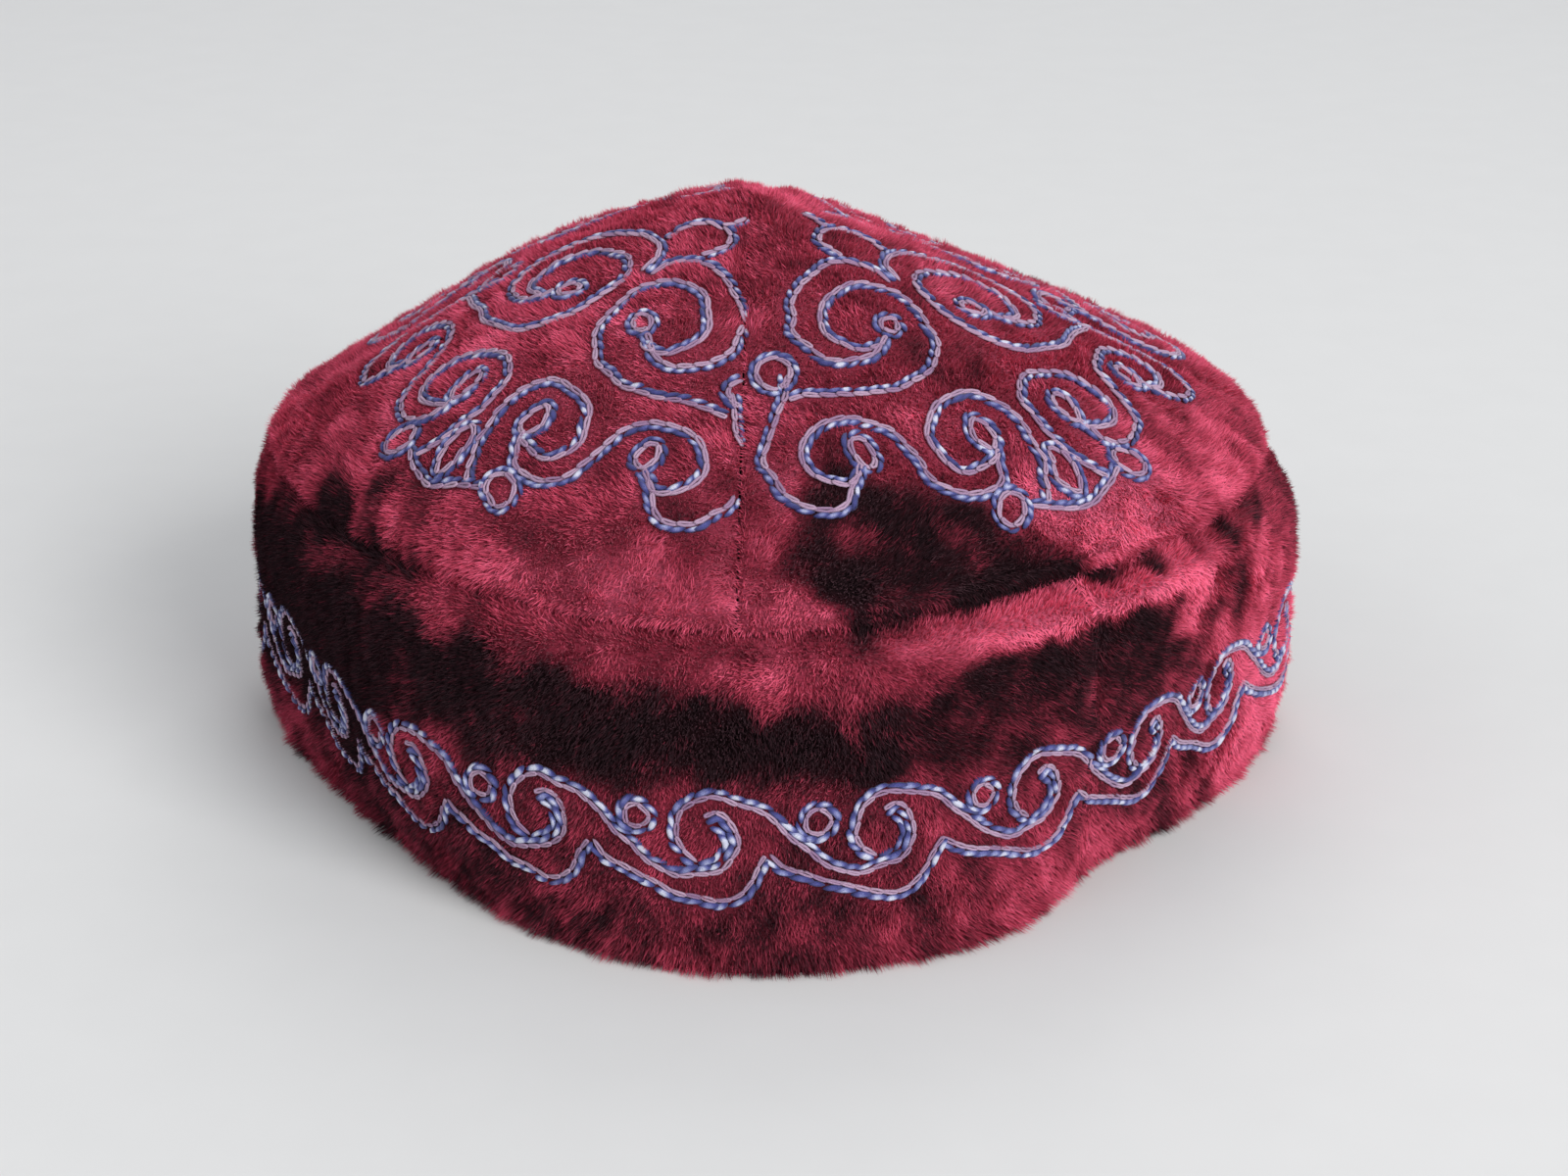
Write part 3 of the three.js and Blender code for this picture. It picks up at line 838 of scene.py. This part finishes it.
def ground_material():
    """Backing between the strands: the same dye and painted light as the pile, mottled, darkened by painted
    shade under the strands, and matt.
    """
    material, nodes, links, surface = new_material(
        "velvet_ground", roughness=0.95, specular=0.05, sheen=0.1, sheen_tint=(1.0, 0.4, 0.5)
    )
    mottle = nodes.new("ShaderNodeTexNoise")
    mottle.inputs["Scale"].default_value = 220
    mottle.inputs["Detail"].default_value = 6
    mottle_and_shade = add_ramp(nodes, GROUND_MOTTLE_AND_SHADE)
    links.new(mottle.outputs["Fac"], mottle_and_shade.inputs["Fac"])
    ramp = add_ramp(nodes, PILE_COLOUR_BY_PAINTED_LIGHT)
    links.new(add_attribute(nodes, "shade"), ramp.inputs["Fac"])
    colour = add_product(nodes, links, ramp.outputs["Color"], mottle_and_shade.outputs["Color"])
    links.new(colour, surface.inputs["Base Color"])
    add_bump(nodes, links, surface, mottle.outputs["Fac"], strength=0.6, distance=0.0006)
    return material


def backing_material():
    """Plain woven back of the velvet, seen only inside the cap and at cut edges."""
    material, nodes, links, surface = new_material(
        "velvet_back", roughness=0.9, specular=0.1, sheen=0.1, sheen_tint=(1, 0.8, 0.8)
    )
    weave = nodes.new("ShaderNodeTexChecker")
    weave.inputs["Scale"].default_value = 1400
    weave.inputs["Color1"].default_value = WEAVE_COLOURS[0]
    weave.inputs["Color2"].default_value = WEAVE_COLOURS[1]
    place = nodes.new("ShaderNodeTexCoord")
    links.new(place.outputs["Object"], weave.inputs["Vector"])
    links.new(weave.outputs["Color"], surface.inputs["Base Color"])
    add_bump(nodes, links, surface, weave.outputs["Fac"], strength=0.4, distance=0.0003)
    return material


def thread_material(name, stops):
    """Soft stranded thread: a colour per stitch, with painted glints and painted shade on the blue stitches,
    speckled by fine fibres.
    """
    material, nodes, links, surface = new_material(
        name, roughness=0.45, specular=0.4, sheen=0.15, sheen_tint=(1, 1, 1)
    )
    fibres = nodes.new("ShaderNodeTexNoise")
    fibres.inputs["Scale"].default_value = FIBRE_SCALE
    fibres.inputs["Detail"].default_value = 3
    speckle = nodes.new("ShaderNodeMath")
    speckle.operation = "MULTIPLY_ADD"
    speckle.inputs[1].default_value = FIBRE_SPECKLE
    links.new(fibres.outputs["Fac"], speckle.inputs[0])
    links.new(add_attribute(nodes, "tone_and_glint"), speckle.inputs[2])
    ramp = add_ramp(nodes, stops)
    links.new(speckle.outputs["Value"], ramp.inputs["Fac"])
    shades = add_ramp(nodes, FIBRE_STOPS)
    links.new(fibres.outputs["Fac"], shades.inputs["Fac"])
    colour = add_product(nodes, links, ramp.outputs["Color"], shades.outputs["Color"])
    links.new(colour, surface.inputs["Base Color"])
    add_bump(nodes, links, surface, fibres.outputs["Fac"], strength=0.5, distance=0.0003)
    return material


def floor_material():
    material, nodes, links, surface = new_material(
        "pale_floor", roughness=0.9, specular=0.1, sheen=0.0, sheen_tint=(1, 1, 1)
    )
    grain = nodes.new("ShaderNodeTexNoise")
    grain.inputs["Scale"].default_value = 400
    ramp = add_ramp(nodes, FLOOR_STOPS)
    links.new(grain.outputs["Fac"], ramp.inputs["Fac"])
    links.new(ramp.outputs["Color"], surface.inputs["Base Color"])
    return material


# Building the cap
def dress_cloth(cloth, lines, looks):
    """Stitches and pile of one cut piece, returned as the pieces that go with its shell."""
    offset = THREAD_OFFSET * MM
    twist_scale, chain_scale = (MM, MM) if cloth.on_crown else (MM * BAND_TWIST, MM * BAND_CHAIN)
    # Strength of the painted glints on the blue stitches
    glint_strength = CROWN_PAINTED_GLINT if cloth.on_crown else BAND_PAINTED_GLINT
    blue = twist_stitches([Path(line, offset * line.blue_side) for line in lines], twist_scale)
    paired = [line for line in lines if line.paired]
    lilac = chain_stitches([Path(line, -offset * line.blue_side) for line in paired], chain_scale)
    dressed = [
        stitch_piece(f"twist_{cloth.node}", blue, False, blue_painted_glints(blue, glint_strength), looks["blue"]),
        stitch_piece(f"chain_{cloth.node}", lilac, True, lilac_tones(lilac), looks["lilac"]),
    ]
    spots = np.concatenate([line.places for line in lines])
    threads = KDTree(len(spots))
    for index, spot in enumerate(spots):
        threads.insert(spot, index)
    threads.balance()
    places, normals = cloth.scatter()
    room = clear_of_threads(places, threads)
    halves = {"": np.full(len(places), True)}
    if not cloth.on_crown:
        halves = {"_right": places[:, 0] >= 0, "_left": places[:, 0] < 0}
    for suffix, half in halves.items():
        kept = half & (room > PRESSED_PILE)
        name = f"pile_{cloth.node}{suffix}"
        dressed.append(pile_piece(name, cloth, places[kept], normals[kept], room[kept], looks["pile"]))
    return dressed


def declare_cloth(cloth, dressed):
    shell = cloth.shell
    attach(shell, "root")
    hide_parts(cloth.node)


def build_cap():
    ground, backing = ground_material(), backing_material()
    looks = {
        "pile": pile_material(),
        "lilac": thread_material("lilac_thread", LILAC_STOPS),
        "blue": thread_material("blue_thread", BLUE_WITH_GLINT_STOPS),
    }
    for node in [*GORE_MIDDLES, "band"]:
        cloth = Cloth(node, [ground, backing])
        lines = gore_lines(cloth) if cloth.on_crown else band_lines(cloth)
        declare_cloth(cloth, dress_cloth(cloth, lines, looks))


# Stage, light and camera
def build_stage():
    floor = new_floor()
    world = bpy.data.worlds.new("soft_room")
    bpy.context.scene.world = world
    world.use_nodes = True
    background = world.node_tree.nodes["Background"]
    background.inputs["Color"].default_value = (*ROOM_COLOUR, 1)
    background.inputs["Strength"].default_value = ROOM_STRENGTH
    for light in LIGHTS:
        add_light(light)


def new_floor():
    half = FLOOR_SIZE / 2
    mesh = bpy.data.meshes.new("floor")
    corners = [(-half, -half, 0), (half, -half, 0), (half, half, 0), (-half, half, 0)]
    mesh.from_pydata(corners, [], [(0, 1, 2, 3)])
    mesh.materials.append(floor_material())
    floor = bpy.data.objects.new("floor", mesh)
    bpy.context.scene.collection.objects.link(floor)
    return floor


def add_light(light):
    lamp = bpy.data.lights.new(light.name, "AREA")
    lamp.size = light.size
    lamp.energy = light.power
    lamp.spread = LIGHT_SPREAD
    holder = bpy.data.objects.new(light.name, lamp)
    holder.location = light.place
    holder.rotation_euler = (HEART - holder.location).to_track_quat("-Z", "Y").to_euler()
    bpy.context.scene.collection.objects.link(holder)


def add_camera():
    lens = bpy.data.cameras.new("photo_camera")
    lens.lens = CAMERA_LENS
    camera = bpy.data.objects.new("photo_camera", lens)
    camera.location = CAMERA_PLACE
    aim = Vector(CAMERA_AIM) - camera.location
    camera.rotation_euler = aim.to_track_quat("-Z", "Y").to_euler()
    bpy.context.scene.collection.objects.link(camera)
    bpy.context.scene.camera = camera


build_cap()
build_stage()
add_camera()
bpy.context.scene.view_settings.view_transform = "Standard"
